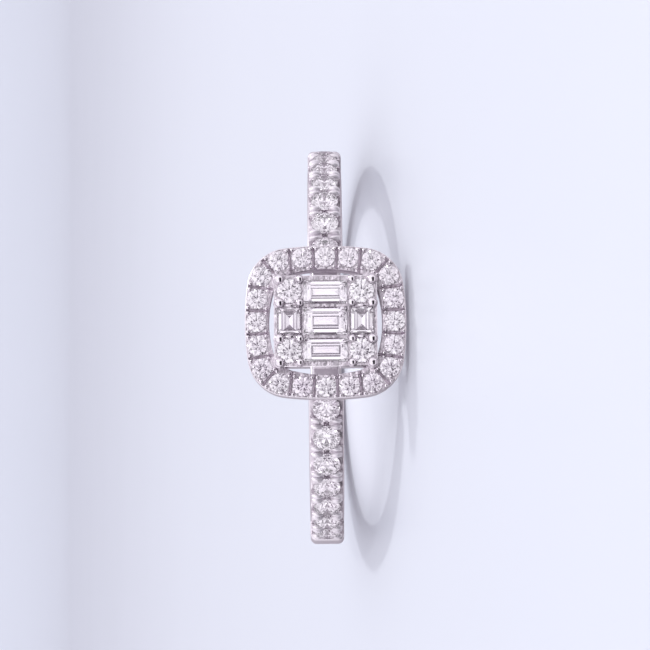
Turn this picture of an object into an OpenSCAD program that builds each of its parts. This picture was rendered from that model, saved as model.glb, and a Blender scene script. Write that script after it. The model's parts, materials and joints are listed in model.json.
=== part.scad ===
// Halo ring lying on its side: a band with set shoulders, a cushion-shaped halo of
// round stones, and a raised cluster of round and baguette stones inside it.
//
// The ring is drawn upright in its own frame and then laid down. In that frame X runs
// along the band at its top, Y is the axis of the finger hole, Z points out of the head
// and the centre of the finger hole is the origin. All sizes are in millimetres.

/* [Band] */
// Inside diameter of the finger hole
finger_d = 16.9; // [16.3:0.1:17.5]
// Width of the band along the finger
band_w = 1.7; // [1.65:0.05:1.9]
// Thickness of the plain lower shank
shank_t = 1.65; // [1.5:0.05:1.75]
// Radius that rounds the outer edges of the shank
shank_round = 0.3; // [0.2:0.05:0.4]
// Width of the plain bridge under the head
bridge_w = 1.3; // [1.1:0.05:1.5]

/* [Shoulders] */
// Number of stones on each shoulder
shoulder_count = 7; // [5:1:7]
// Diameter of a shoulder stone
shoulder_d = 1.32; // [1.26:0.01:1.33]
// Angle from the middle of the head to the first shoulder stone
shoulder_first = 22.9; // [22.5:0.1:24.5]
// Angle from one shoulder stone to the next
shoulder_pitch = 8.8; // [8.8:0.1:9.4]

/* [Halo] */
// Length of the halo along the finger
halo_l = 7.52; // [7.4:0.02:7.7]
// Length of the halo across the finger
halo_w = 7.16; // [7.1:0.02:7.4]
// Height of the halo's wall
halo_h = 1.2; // [1.1:0.05:1.3]
// Height of the halo's underside above the finger hole
halo_lift = 2.3; // [2.1:0.05:2.5]
// Radius of the line of stones at a corner
halo_corner = 1.45; // [1.35:0.05:1.55]
// Diameter of a halo stone
halo_d = 0.94; // [0.88:0.01:0.96]

/* [Cluster] */
// Diameter of a corner stone
round_d = 1.16; // [1.1:0.01:1.18]
// Length of the three baguettes in the middle column
column_l = 2.02; // [1.96:0.01:2.04]
// Width of the upper and lower baguettes
outer_row_w = 1.08; // [1:0.01:1.12]
// Width of the middle and side baguettes
middle_row_w = 1.3; // [1.24:0.01:1.32]
// Height of the cluster's tray above the halo
tray_rise = 0.45; // [0.35:0.05:0.55]
// Radius of an outer prong of the cluster
outer_prong_r = 0.19; // [0.17:0.01:0.2]
// Radius of an inner prong of the cluster
inner_prong_r = 0.14; // [0.12:0.01:0.15]

/* [Hidden] */
$fn = 64;

halo_count = 20;

// Clearance between a stone and its metal
seat_gap = 0.025;
// Small bevel along the metal's edges
bevel = 0.08;
// Overlap of two metal shapes that are joined
bite = 0.1;
// The flat on a prong's end, as a share of its radius
bead_flat = 0.6;

// Proportions of a round brilliant, as shares of its diameter
crown_part = 0.15;
girdle_part = 0.03;
pavilion_part = 0.43;
table_part = 0.56;
star_part = 0.77;
lower_part = 0.22;

// Band: the base carries the shoulder deck, whose troughs leave the prong walls. The two
// tips of a split prong stand side by side on a wall
finger_r = finger_d / 2;
shank_r = finger_r + shank_t;
base_r = finger_r + 0.75;
deck_r = finger_r + 1.41;
deck_w = band_w - 0.14;
girdle_r = deck_r + 0.02;
set_start = shoulder_first - shoulder_pitch / 2;
set_end = shoulder_first + (shoulder_count - 0.5) * shoulder_pitch;
shoulder_prong_r = 0.145;
shoulder_prong_h = 0.27;
shoulder_prong_y = deck_w / 2 - shoulder_prong_r - 0.01;
split = 0.165;
wall_half = split + shoulder_prong_r + 0.01;
trough_half = deck_r * tan(shoulder_pitch / 2) - wall_half;
trough_deep = 0.62;
bridge_flat = 2.7;
bridge_ramp = 0.7;

// Halo: levels, and the line of stones inside its outer wall
halo_base = finger_r + halo_lift;
halo_deck = halo_base + halo_h;
halo_girdle = halo_deck + 0.03;
rim_out = 0.53;
web_in = 1.2;
path_x = halo_w / 2 - rim_out;
path_y = halo_l / 2 - rim_out;
bow = 0.1;
corner_x = path_x - halo_corner - bow;
corner_y = path_y - halo_corner - bow;
side_x_r = halo_corner + bow / 2 + corner_y * corner_y / (2 * bow);
side_y_r = halo_corner + bow / 2 + corner_x * corner_x / (2 * bow);
side_x_a = atan2(corner_y, corner_x - path_x + side_x_r);
side_y_a = atan2(corner_x, corner_y - path_y + side_y_r);
side_x_l = side_x_r * side_x_a * PI / 180;
corner_l = halo_corner * (90 - side_x_a - side_y_a) * PI / 180;
side_y_l = side_y_r * side_y_a * PI / 180;
quarter_l = side_x_l + corner_l + side_y_l;
halo_pitch = 4 * quarter_l / halo_count;
// The halo's prongs stand in pairs at the ends of each groove, outside and inside the line
halo_prong_r = 0.07;
halo_prong_h = 0.2;
halo_prong_step = 0.13;
halo_prong_out = 0.42;
halo_prong_in = -0.48;
groove_w = 0.14;
groove_deep = 0.22;
groove_out = 0.47;
// The halo's opening, whose corners are rounder than its outside
opening_x = halo_w / 2 - 1.11;
opening_y = halo_l / 2 - 1.11;
opening_corner = 1.3;
opening_bow = 0.15;

// Cluster: rows across the finger and columns along it
tray_wall = 0.14;
row_gap = 0.16;
column_gap = 0.09;
tray_h = 1.15;
tray_deck = halo_deck + tray_rise;
tray_base = tray_deck - tray_h;
cluster_girdle = tray_deck + 0.03;
round_x = middle_row_w / 2 + row_gap + round_d / 2;
round_y = column_l / 2 + column_gap + round_d / 2;
tray_x = round_x + round_d / 2 + tray_wall + 0.02;
tray_y = round_y + round_d / 2 + tray_wall;
prong_off_x = round_d / 2 - 0.03;
prong_off_y = round_d / 2 - 0.11;
prong_h = 0.42;
post_r = 0.33;
post_foot = [1.25, 0.3, finger_r + 0.45];
post_top = [1.55, 1.7, tray_base + 0.3];

// Lying on its side: the tilt at which the halo's lower edge and the far edge of the
// shank both touch the floor, and the shifts that put the box's foot centre at the origin
rest_a = halo_l / 2 - band_w / 2 + shank_round;
rest_b = halo_base + bevel + shank_r - shank_round;
tilt = acos(shank_round / norm([rest_a, rest_b])) - atan2(rest_b, rest_a);
lift = halo_l / 2 * cos(tilt) - (halo_base + bevel) * sin(tilt);
front = (tray_deck + prong_h) * cos(tilt)
    + (round_y + prong_off_y + bead_flat * outer_prong_r) * sin(tilt);
back = (shank_r - shank_round) * cos(tilt) + (band_w / 2 - shank_round) * sin(tilt) + shank_round;
shift = (front - back) / 2;

// Lays its upright children down on the floor, with the head towards -Y
module lay_down() {
    translate([0, shift, lift]) rotate([90 - tilt, 0, 0]) children();
}

// Turns its children about the finger, from the top of the head towards +X
module round_finger(angle) {
    rotate([0, angle, 0]) children();
}

// A stretch of the band: a profile of radius and width swept from one angle to another
module band_sweep(from, to) {
    rotate([0, from, 0]) rotate([-90, -90, 0])
        rotate_extrude(angle = to - from, $fn = 180) children();
}

// A point, and the direction that it faces, at a length along a quarter of the stones' line
function quarter_at(s) =
    s < side_x_l ? let (a = s / side_x_r * 180 / PI)
        [path_x - side_x_r + side_x_r * cos(a), side_x_r * sin(a), a] :
    s < side_x_l + corner_l ? let (a = side_x_a + (s - side_x_l) / halo_corner * 180 / PI)
        [corner_x + halo_corner * cos(a), corner_y + halo_corner * sin(a), a] :
    let (a = 90 - (quarter_l - s) / side_y_r * 180 / PI)
        [side_y_r * cos(a), path_y - side_y_r + side_y_r * sin(a), a];

// The same, anywhere on the whole line: every other quarter is a mirror image
function halo_at(s) =
    let (k = floor(s / quarter_l), rest = s - k * quarter_l)
    k == 0 ? quarter_at(rest) :
    k == 1 ? let (q = quarter_at(quarter_l - rest)) [-q[0], q[1], 180 - q[2]] :
    k == 2 ? let (q = quarter_at(rest)) [-q[0], -q[1], 180 + q[2]] :
    let (q = quarter_at(quarter_l - rest)) [q[0], -q[1], -q[2]];

// Puts its children at a step along the halo's line of stones, facing outwards
module on_halo(step) {
    place = halo_at(step * halo_pitch);
    translate([place[0], place[1], 0]) rotate([0, 0, place[2]]) children();
}

// Centre and radius of the arc along one side of a cushion shape: out is its half size in
// that direction, and to is how far along the side its corner arc has its middle
function side_arc(out, to, corner, bow) =
    let (r = corner + bow / 2 + to * to / (2 * bow)) [out - r, r];

// A quarter of a cushion outline as points: one side's arc, the corner's and the other side's
function cushion_quarter(x, y, corner, bow) =
    let (
        cx = x - corner - bow,
        cy = y - corner - bow,
        sx = side_arc(x, cy, corner, bow),
        sy = side_arc(y, cx, corner, bow),
        ax = atan2(cy, cx - sx[0]),
        ay = atan2(cx, cy - sy[0])
    )
    concat(
        [for (k = [0 : 2]) let (a = ax * k / 3) [sx[0] + sx[1] * cos(a), sx[1] * sin(a)]],
        [for (k = [0 : 6]) let (a = ax + (90 - ax - ay) * k / 6) [cx + corner * cos(a), cy + corner * sin(a)]],
        [for (k = [1 : 3]) let (a = 90 - ay + ay * k / 3) [sy[1] * cos(a), sy[0] + sy[1] * sin(a)]]
    );

// The whole outline: each quarter turned or mirrored, without its last point
function cushion(x, y, corner, bow) =
    let (q = cushion_quarter(x, y, corner, bow), n = len(q))
    concat(
        [for (k = [0 : n - 2]) q[k]],
        [for (k = [n - 1 : -1 : 1]) [-q[k][0], q[k][1]]],
        [for (k = [0 : n - 2]) -q[k]],
        [for (k = [n - 1 : -1 : 1]) [q[k][0], -q[k][1]]]
    );

function ring_points(count, r, z, turn) =
    [for (k = [0 : count - 1]) [r * cos(turn + k * 360 / count), r * sin(turn + k * 360 / count), z]];

// A round brilliant with its girdle on the plane z = 0: table, stars, kites, upper and
// lower girdle facets, pavilion mains and culet
module brilliant(d) {
    r = d / 2;
    girdle_h = d * girdle_part;
    table_z = girdle_h + d * crown_part;
    table_r = r * table_part;
    star_r = r * star_part;
    slope = (girdle_h - table_z) / (r - table_r);
    star_z = table_z + (star_r * cos(22.5) - table_r) * slope;
    culet_z = -d * pavilion_part;
    lower_r = r * lower_part;
    lower_z = culet_z - lower_r * cos(22.5) * culet_z / r;
    points = concat(
        ring_points(8, table_r, table_z, 0),
        ring_points(8, star_r, star_z, 22.5),
        ring_points(16, r, girdle_h, 0),
        ring_points(16, r, 0, 0),
        ring_points(8, lower_r, lower_z, 22.5),
        [[0, 0, culet_z]]
    );
    star = 8;
    top = 16;
    low = 32;
    inner = 48;
    culet = 56;
    faces = concat(
        [[for (k = [7 : -1 : 0]) k]],
        [for (k = [0 : 7]) [k, (k + 1) % 8, star + k]],
        [for (k = [0 : 7]) [k, star + k, top + 2 * k]],
        [for (k = [0 : 7]) [k, top + 2 * k, star + (k + 7) % 8]],
        [for (k = [0 : 7]) [star + k, top + 2 * k + 1, top + 2 * k]],
        [for (k = [0 : 7]) [star + k, top + (2 * k + 2) % 16, top + 2 * k + 1]],
        [for (k = [0 : 15]) [top + k, top + (k + 1) % 16, low + (k + 1) % 16]],
        [for (k = [0 : 15]) [top + k, low + (k + 1) % 16, low + k]],
        [for (k = [0 : 7]) [inner + k, low + 2 * k, low + 2 * k + 1]],
        [for (k = [0 : 7]) [inner + k, low + 2 * k + 1, low + (2 * k + 2) % 16]],
        [for (k = [0 : 7]) [culet, low + 2 * k, inner + k]],
        [for (k = [0 : 7]) [culet, inner + (k + 7) % 8, low + 2 * k]]
    );
    polyhedron(points, faces);
}

// Steps of a baguette from its table to its keel. z: share of the crown's height above
// the girdle, or of the depth below it. inset: share of the half width
CROWN_STEPS = [[1, 0.3], [0.62, 0.13]];
PAVILION_STEPS = [[0.43, 0.28], [0.76, 0.6]];
step_crown = 0.12;
step_depth = 0.39;
keel_inset = 1;

function step_ring(l, w, inset, z) =
    [for (s = [[1, 1], [-1, 1], [-1, -1], [1, -1]]) [s[0] * (l / 2 - inset), s[1] * (w / 2 - inset), z]];

// A step-cut baguette with its girdle on the plane z = 0, its length along X and a keel
module baguette(l, w) {
    girdle_h = 0.03 * w;
    crown_h = step_crown * w;
    depth = step_depth * w;
    points = concat(
        [for (s = CROWN_STEPS) each step_ring(l, w, s[1] * w / 2, girdle_h + s[0] * crown_h)],
        step_ring(l, w, 0, girdle_h),
        step_ring(l, w, 0, 0),
        [for (s = PAVILION_STEPS) each step_ring(l, w, s[1] * w / 2, -s[0] * depth)],
        [[l / 2 - keel_inset * w / 2, 0, -depth], [keel_inset * w / 2 - l / 2, 0, -depth]]
    );
    bands = len(CROWN_STEPS) + len(PAVILION_STEPS) + 1;
    last = 4 * bands;
    keel = last + 4;
    faces = concat(
        [[3, 2, 1, 0]],
        [for (b = [0 : bands - 1], k = [0 : 3])
            let (u = 4 * b, n = (k + 1) % 4) [u + k, u + n, u + 4 + n, u + 4 + k]],
        [[last, last + 1, keel + 1, keel]],
        [[last + 2, last + 3, keel, keel + 1]],
        [[last + 3, last, keel]],
        [[last + 1, last + 2, keel + 1]]
    );
    polyhedron(points, faces);
}

// The room that a round brilliant needs in its metal: the stone and a clearance round it,
// cut with twelve flats, of which one faces each neighbour
module round_seat(d) {
    r = (d / 2 + seat_gap) / cos(15);
    girdle_h = d * girdle_part;
    table_z = girdle_h + d * crown_part + 1.2 * seat_gap;
    rotate([0, 0, 15]) rotate_extrude($fn = 12)
        polygon([
            [0, -d * pavilion_part - 1.4 * seat_gap],
            [r, -0.5 * seat_gap],
            [r, girdle_h + 0.5 * seat_gap],
            [d / 2 * table_part, table_z],
            [0, table_z]
        ]);
}

// The room that a baguette needs: its steps and a clearance, drawn out to its length
module baguette_seat(l, w) {
    depth = step_depth * w;
    steps = concat([[0, 0]], PAVILION_STEPS);
    side = [for (s = steps) [w / 2 * (1 - s[1]) + seat_gap, -s[0] * depth - 0.3 * seat_gap]];
    top_z = (step_crown + 0.03) * w + seat_gap;
    outline = concat(
        [[w / 2 + seat_gap, top_z]],
        side,
        [[0, -depth - 1.4 * seat_gap]],
        [for (k = [len(side) - 1 : -1 : 0]) [-side[k][0], side[k][1]]],
        [[-w / 2 - seat_gap, top_z]]
    );
    rotate([90, 0, 90]) linear_extrude(l + 2 * seat_gap, center = true) polygon(outline);
}

// Where the stones of the cluster lie: their middles on the plane of the girdles
CORNERS = [[1, -1], [1, 1], [-1, -1], [-1, 1]];
ROW_X = middle_row_w / 2 + row_gap + outer_row_w / 2;

module at_corner(i) {
    translate([CORNERS[i - 1][0] * round_x, CORNERS[i - 1][1] * round_y, cluster_girdle]) children();
}

module at_middle(i) {
    translate([(2 - i) * ROW_X, 0, cluster_girdle]) rotate([0, 0, 90]) children();
}

module at_side(i) {
    translate([0, (2 * i - 3) * round_y, cluster_girdle]) children();
}

module at_halo(i) {
    on_halo(i - 1) translate([0, 0, halo_girdle]) children();
}

// Puts its children on a shoulder, at a step counted from its first stone
module at_shoulder(side, step) {
    round_finger(side * (shoulder_first + step * shoulder_pitch)) translate([0, 0, girdle_r]) children();
}

function middle_w(i) = i == 2 ? middle_row_w : outer_row_w;

// A prong's head: a post with a rounded end, its foot sunk into the metal below
module bead(r, h) {
    rotate_extrude($fn = 24)
        polygon([[0, -bite], [r, -bite], [r, h - 0.55 * r], [bead_flat * r, h], [0, h]]);
}

// A round bar between two points
module bar(from, to, r) {
    way = to - from;
    translate(from) rotate([0, acos(way[2] / norm(way)), atan2(way[1], way[0])])
        cylinder(h = norm(way), r = r, $fn = 32);
}

// The plain shank, the base that runs all the way round and the decks that carry stones
module band() {
    inner = finger_r - bite;
    half = band_w / 2;
    flat_r = shank_r - shank_round;
    flat_y = half - shank_round;
    difference() {
        union() {
            band_sweep(set_end, 360 - set_end) polygon(concat(
                [[inner, half], [inner, -half]],
                [for (a = [-90 : 18 : 0]) [flat_r + shank_round * cos(a), -flat_y + shank_round * sin(a)]],
                [for (a = [0 : 18 : 90]) [flat_r + shank_round * cos(a), flat_y + shank_round * sin(a)]]
            ));
            band_sweep(-set_end - 1, set_end + 1) polygon([
                [inner, half], [inner, -half],
                [base_r - bevel, -half], [base_r, bevel - half],
                [base_r, half - bevel], [base_r - bevel, half]
            ]);
            for (side = [-1, 1]) shoulder_deck(side);
        }
        bridge_cut();
        finger_hole();
    }
}

// A point of the band's side view, given across and up as they are at an angle
function side_point(angle, across, up) =
    [across * cos(angle) + up * sin(angle), up * cos(angle) - across * sin(angle)];

// The side view of the trough under one stone
function trough(angle) =
    [for (t = [180 : 30 : 360])
        side_point(angle, trough_half * cos(t), deck_r - trough_deep + trough_half * (1 + sin(t)))];

// The deck of one shoulder, hollowed by a trough under each stone. Its last wall runs a
// little way into the plain shank
module shoulder_deck(side) {
    end_out = 0.14;
    sunk_r = base_r - bite;
    outline = concat(
        [side_point(set_start, -end_out, deck_r)],
        [for (k = [0 : shoulder_count - 1]) each concat(
            [side_point(set_start + k * shoulder_pitch, wall_half, deck_r)],
            trough(shoulder_first + k * shoulder_pitch),
            [side_point(set_start + (k + 1) * shoulder_pitch, -wall_half, deck_r)]
        )],
        [side_point(set_end, end_out, deck_r), side_point(set_end, end_out, sunk_r)],
        [for (k = [shoulder_count : -1 : 1]) side_point(set_start + k * shoulder_pitch, 0, sunk_r)],
        [side_point(set_start, -end_out, sunk_r)]
    );
    mirror([side < 0 ? 1 : 0, 0, 0]) rotate([90, 0, 0]) linear_extrude(deck_w, center = true)
        polygon(outline);
}

// Narrows the band under the head to the width of the bridge
module bridge_cut() {
    far = bridge_flat + bridge_ramp;
    for (m = [0, 1]) mirror([0, m, 0]) translate([0, 0, finger_r / 2]) linear_extrude(finger_r)
        polygon([
            [-far, band_w], [-far, band_w / 2], [-bridge_flat, bridge_w / 2],
            [bridge_flat, bridge_w / 2], [far, band_w / 2], [far, band_w]
        ]);
}

module finger_hole() {
    rotate([90, 0, 0]) cylinder(h = 2 * band_w, r = finger_r, center = true, $fn = 180);
    for (m = [0, 1]) mirror([0, m, 0]) translate([0, band_w / 2 + bevel, 0]) rotate([90, 0, 0])
        cylinder(h = 2.5 * bevel, r1 = finger_r + 2 * bevel, r2 = finger_r - bevel / 2, $fn = 180);
}

// One arc of the halo's frame, its section swept about a centre
module halo_arc(centre, r, from, to) {
    translate(centre) rotate([0, 0, from]) rotate_extrude(angle = to - from, $fn = 128)
        translate([r, 0]) polygon([
            [-web_in, halo_base], [rim_out - bevel, halo_base], [rim_out, halo_base + bevel],
            [rim_out, halo_deck], [-web_in, halo_deck]
        ]);
}

// The halo's frame: eight arcs, and a groove across it between each two stones
module halo_frame() {
    difference() {
        union() for (turn = [0, 180]) rotate([0, 0, turn]) {
            halo_arc([path_x - side_x_r, 0, 0], side_x_r, -side_x_a, side_x_a);
            halo_arc([0, path_y - side_y_r, 0], side_y_r, 90 - side_y_a, 90 + side_y_a);
            halo_arc([corner_x, corner_y, 0], halo_corner, side_x_a, 90 - side_y_a);
            halo_arc([corner_x, -corner_y, 0], halo_corner, side_y_a - 90, -side_x_a);
        }
        translate([0, 0, halo_base - 1]) linear_extrude(halo_h + 2)
            polygon(cushion(opening_x, opening_y, opening_corner, opening_bow));
        for (i = [1 : halo_count]) on_halo(i - 0.5)
            translate([-web_in, -groove_w / 2, halo_deck - groove_deep])
                cube([web_in + groove_out, groove_w, 1]);
    }
}

// The tray that holds the cluster, and the four posts that carry it on the bridge
module tray() {
    cut = 0.06;
    translate([0, 0, tray_base]) linear_extrude(tray_h) polygon([
        [tray_x, tray_y - cut], [tray_x - cut, tray_y], [cut - tray_x, tray_y], [-tray_x, tray_y - cut],
        [-tray_x, cut - tray_y], [cut - tray_x, -tray_y], [tray_x - cut, -tray_y], [tray_x, cut - tray_y]
    ]);
    for (c = CORNERS) bar(
        [c[0] * post_foot[0], c[1] * post_foot[1], post_foot[2]],
        [c[0] * post_top[0], c[1] * post_top[1], post_top[2]],
        post_r
    );
}

module cluster_prongs() {
    for (c = CORNERS, dx = [-1, 1], dy = [-1, 1]) translate([
        c[0] * (round_x + dx * prong_off_x),
        c[1] * (round_y + dy * prong_off_y),
        tray_deck
    ]) bead(dy > 0 ? outer_prong_r : inner_prong_r, prong_h);
}

module halo_prongs() {
    step = halo_prong_step / halo_pitch;
    for (i = [1 : halo_count], tip = [-1, 1], x = [halo_prong_in, halo_prong_out])
        on_halo(i - 0.5 + tip * step) translate([x, 0, halo_deck]) bead(halo_prong_r, halo_prong_h);
}

// Each wall between two stones ends in a split prong at either side of the band
module shoulder_prongs() {
    for (side = [-1, 1], k = [0 : shoulder_count], y = [-1, 1], tip = [-1, 1])
        if (k > 0 || tip > 0) if (k < shoulder_count || tip < 0)
            at_shoulder(side, k - 0.5) translate([side * tip * split, y * shoulder_prong_y, deck_r - girdle_r])
                bead(shoulder_prong_r, shoulder_prong_h);
}

// The band with the seats of its shoulder stones
module set_band() {
    difference() {
        union() {
            band();
            shoulder_prongs();
        }
        for (side = [-1, 1], k = [0 : shoulder_count - 1]) at_shoulder(side, k) round_seat(shoulder_d);
    }
}

// The halo with the seats of its stones
module set_halo() {
    difference() {
        union() {
            halo_frame();
            halo_prongs();
        }
        for (i = [1 : halo_count]) at_halo(i) round_seat(halo_d);
    }
}

// The tray with the seats of the cluster
module set_tray() {
    difference() {
        union() {
            tray();
            cluster_prongs();
        }
        for (i = [1 : 4]) at_corner(i) round_seat(round_d);
        for (i = [1 : 3]) at_middle(i) baguette_seat(column_l, middle_w(i));
        for (i = [1 : 2]) at_side(i) baguette_seat(middle_row_w, round_d);
    }
}

module band_and_setting() {
    color("#dcdae0") lay_down() {
        set_band();
        set_halo();
        set_tray();
    }
}

module corner_round(i) {
    color("#f1eff6") lay_down() at_corner(i) brilliant(round_d);
}

module middle_baguette(i) {
    color("#e9e9f4") lay_down() at_middle(i) baguette(column_l, middle_w(i));
}

module side_baguette(i) {
    color("#e9e9f4") lay_down() at_side(i) baguette(middle_row_w, round_d);
}

module halo_stone(i) {
    color("#f1eff6") lay_down() at_halo(i) brilliant(halo_d);
}

module shoulder_stone(side, i) {
    color("#f1eff6") lay_down() at_shoulder(side, i - 1) brilliant(shoulder_d);
}

band_and_setting();
for (i = [1 : 4]) corner_round(i);
for (i = [1 : 3]) middle_baguette(i);
for (i = [1 : 2]) side_baguette(i);
for (i = [1 : halo_count]) halo_stone(i);
for (i = [1 : shoulder_count]) {
    shoulder_stone(-1, i);
    shoulder_stone(1, i);
}
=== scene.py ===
"""Dresses a halo ring that lies on its side: its white gold, its diamonds and a plain studio."""

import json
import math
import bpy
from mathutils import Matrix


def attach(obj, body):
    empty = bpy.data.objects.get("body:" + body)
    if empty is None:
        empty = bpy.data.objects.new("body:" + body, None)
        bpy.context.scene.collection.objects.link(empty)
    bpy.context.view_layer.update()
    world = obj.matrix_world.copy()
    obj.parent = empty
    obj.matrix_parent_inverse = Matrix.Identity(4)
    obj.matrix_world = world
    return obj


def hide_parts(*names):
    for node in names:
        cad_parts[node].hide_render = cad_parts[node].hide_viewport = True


bl_info = {
    "name": "Halo Ring",
    "version": (1, 0, 0),
    "blender": (4, 5, 0),
    "location": "View3D > Sidebar > Halo Ring",
    "description": "Builds the white gold of a halo ring, finishes its diamonds and sets up a plain studio",
    "category": "Add Mesh",
}

import bmesh
import bpy
from bpy.props import FloatProperty, FloatVectorProperty, PointerProperty
from mathutils import Matrix, Vector

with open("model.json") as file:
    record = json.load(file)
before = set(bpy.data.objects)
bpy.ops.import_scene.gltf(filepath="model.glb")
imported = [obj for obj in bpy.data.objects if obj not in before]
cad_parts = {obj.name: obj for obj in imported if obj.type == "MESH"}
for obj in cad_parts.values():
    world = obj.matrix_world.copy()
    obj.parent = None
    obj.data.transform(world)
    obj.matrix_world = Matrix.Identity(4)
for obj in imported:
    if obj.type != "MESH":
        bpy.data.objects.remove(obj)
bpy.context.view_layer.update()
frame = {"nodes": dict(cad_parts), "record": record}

MM = 0.001

# Points that are closer than this are one
WELD = 1e-7

# Material slots of a carved piece: its outside, and what the drill or the graver cut
OUTER, CUT = 0, 1

# How far the middle point of a rounded edge stands in from the corner, as a share of the rounding
MID_ROUND = 0.3

# Corners of a rectangle, one after the other
CORNERS = ((1, 1), (-1, 1), (-1, -1), (1, -1))

# The ring upright: X along the band at its top, Y the finger's axis, Z out of the head
hole = next(m for m in frame["record"]["mounts"] if m["name"] == "finger_hole")
band_way = Vector((1, 0, 0))
finger_axis = Vector(hole["axis"]).normalized()
head_normal = band_way.cross(finger_axis)
upright_axes = Matrix((band_way, finger_axis, head_normal)).transposed().to_4x4()
LAID = Matrix.Translation(hole["pos_m"]) @ upright_axes
UPRIGHT = LAID.inverted()
FINGER_R = hole["dims"]["r_mm"] * MM


def names_like(start):
    """The CAD nodes whose names begin with start, in their numbers' order."""
    found = [n for n in frame["nodes"] if n.startswith(start)]
    return sorted(found, key=lambda n: int(n.rsplit("_", 1)[1]))


HALO_STONES = names_like("halo_stone_")
LEFT_STONES = names_like("left_stone_")
RIGHT_STONES = names_like("right_stone_")
CORNER_ROUNDS = names_like("corner_round_")
MIDDLE_BAGUETTES = names_like("middle_baguette_")
SIDE_BAGUETTES = names_like("side_baguette_")

# Each shoulder's side of the head, its stones and its name
SHOULDERS = ((-1, LEFT_STONES, "left_shoulder"), (1, RIGHT_STONES, "right_shoulder"))


def linear(code):
    """An sRGB hex code as linear red, green, blue and alpha."""
    shares = [int(code[i : i + 2], 16) / 255 for i in (1, 3, 5)]
    return (*(c / 12.92 if c <= 0.04045 else ((c + 0.055) / 1.055) ** 2.4 for c in shares), 1.0)


def a_length(name, description, value):
    """A size in millimetres as a length that a user can change."""
    return FloatProperty(name=name, description=description, default=value * MM, unit="LENGTH", precision=6)


def an_angle(name, description, degrees):
    """An angle that a user can change."""
    return FloatProperty(name=name, description=description, default=math.radians(degrees), unit="ROTATION")


def a_colour(name, description, code):
    """A colour that a user can change, given as an sRGB hex code."""
    shown = {"default": linear(code)[:3], "subtype": "COLOR", "min": 0, "max": 1}
    return FloatVectorProperty(name=name, description=description, **shown)


class HALORING_PG_band(bpy.types.PropertyGroup):
    """Sizes of the band and its shoulders."""

    width: a_length("Width", "Width of the band along the finger", 1.7)
    shank: a_length("Shank", "Thickness of the plain lower shank", 1.65)
    rounding: a_length("Rounding", "Radius of the shank's outer edges", 0.3)
    edge: a_length("Edge", "Radius of the inner edges", 0.09)
    base: a_length("Base", "Thickness of the band under the shoulder stones", 0.75)
    deck: a_length("Deck", "Height of the shoulders' walls above the finger hole", 1.41)
    deck_width: a_length("Deck width", "Width of the shoulders' walls", 1.56)
    bridge: a_length("Bridge", "Width of the bridge under the head", 1.3)
    bridge_half: a_length("Bridge length", "Half length of the bridge's narrow stretch", 2.7)
    bridge_ramp: a_length("Bridge ramp", "Length over which the bridge widens", 0.7)
    wall: a_length("Wall", "Half thickness of a wall between two shoulder stones", 0.32)
    trough: a_length("Trough", "Depth of the trough under a shoulder stone", 0.62)
    channel: a_length("Channel", "Half width of the open middle of a wall", 0.13)
    channel_deep: a_length("Channel depth", "Depth of the open middle of a wall", 0.22)
    tip_step: a_length("Tip step", "Half distance between the tips of a split prong", 0.155)
    tip_side: a_length("Tip side", "Distance of a tip from the middle of the band", 0.46)
    tip_half: a_length("Tip half width", "Half width of a tip along the band", 0.165)
    tip_reach: a_length("Tip reach", "Half length of a tip across the band", 0.3)
    tip_height: a_length("Tip height", "Height of a tip above its wall", 0.22)
    tip_lean: an_angle("Tip lean", "How far a tip leans away from the middle of its wall", 14)


class HALORING_PG_halo(bpy.types.PropertyGroup):
    """Sizes of the halo."""

    base: a_length("Base", "Height of the halo's underside above the finger hole", 2.3)
    wall: a_length("Wall", "Height of the halo's outer wall", 1.2)
    rim: a_length("Rim", "Distance from the line of stones to the outer wall", 0.53)
    corner: a_length("Corner", "Radius of the line of stones at a corner", 1.45)
    bow: a_length("Bow", "How far each side of the line of stones bows out", 0.1)
    opening_corner: a_length("Opening corner", "Radius of the opening at a corner", 1.3)
    opening_bow: a_length("Opening bow", "How far each side of the opening bows out", 0.15)
    opening_in: a_length("Opening inset", "Distance from the outer wall to the opening", 1.11)
    groove: a_length("Groove", "Width of the groove between two stones", 0.12)
    groove_deep: a_length("Groove depth", "Depth of the groove between two stones", 0.14)
    bead_r: a_length("Bead radius", "Radius of a bead", 0.1)
    bead_step: a_length("Bead step", "Half distance between two beads along the line", 0.125)
    bead_out: a_length("Bead out", "Distance of the outer beads from the line of stones", 0.4)
    bead_in: a_length("Bead in", "Distance of the inner beads from the line of stones", 0.44)
    bead_height: a_length("Bead height", "Height of a bead above the halo's top", 0.13)


class HALORING_PG_cluster(bpy.types.PropertyGroup):
    """Sizes of the raised cluster."""

    rise: a_length("Rise", "Height of the tray's top above the halo's top", 0.45)
    depth: a_length("Depth", "Height of the tray's wall", 1.15)
    half_x: a_length("Half width", "Half size of the tray across the finger", 2.13)
    half_y: a_length("Half length", "Half size of the tray along the finger", 2.4)
    outer_prong: a_length("Outer prong", "Radius of an outer prong", 0.22)
    inner_prong: a_length("Inner prong", "Radius of an inner prong", 0.175)
    prong_height: a_length("Prong height", "Height of a prong above the tray", 0.42)
    prong_x: a_length("Prong across", "Distance of a prong from its stone across the finger", 0.55)
    prong_y: a_length("Prong along", "Distance of a prong from its stone along the finger", 0.47)
    lip_x: a_length("Lip across", "Distance of a lip from the middle, across the finger", 0.72)
    post: a_length("Post", "Radius of a post under the tray", 0.33)
    foot_x: a_length("Foot across", "Distance of a post's foot from the middle, across the finger", 1.25)
    foot_y: a_length("Foot along", "Distance of a post's foot from the middle, along the finger", 0.3)
    head_x: a_length("Head across", "Distance of a post's head from the middle, across the finger", 1.55)
    head_y: a_length("Head along", "Distance of a post's head from the middle, along the finger", 1.7)
    steep: an_angle("Pavilion", "Steepness of the middle step under a baguette", 45)


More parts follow.
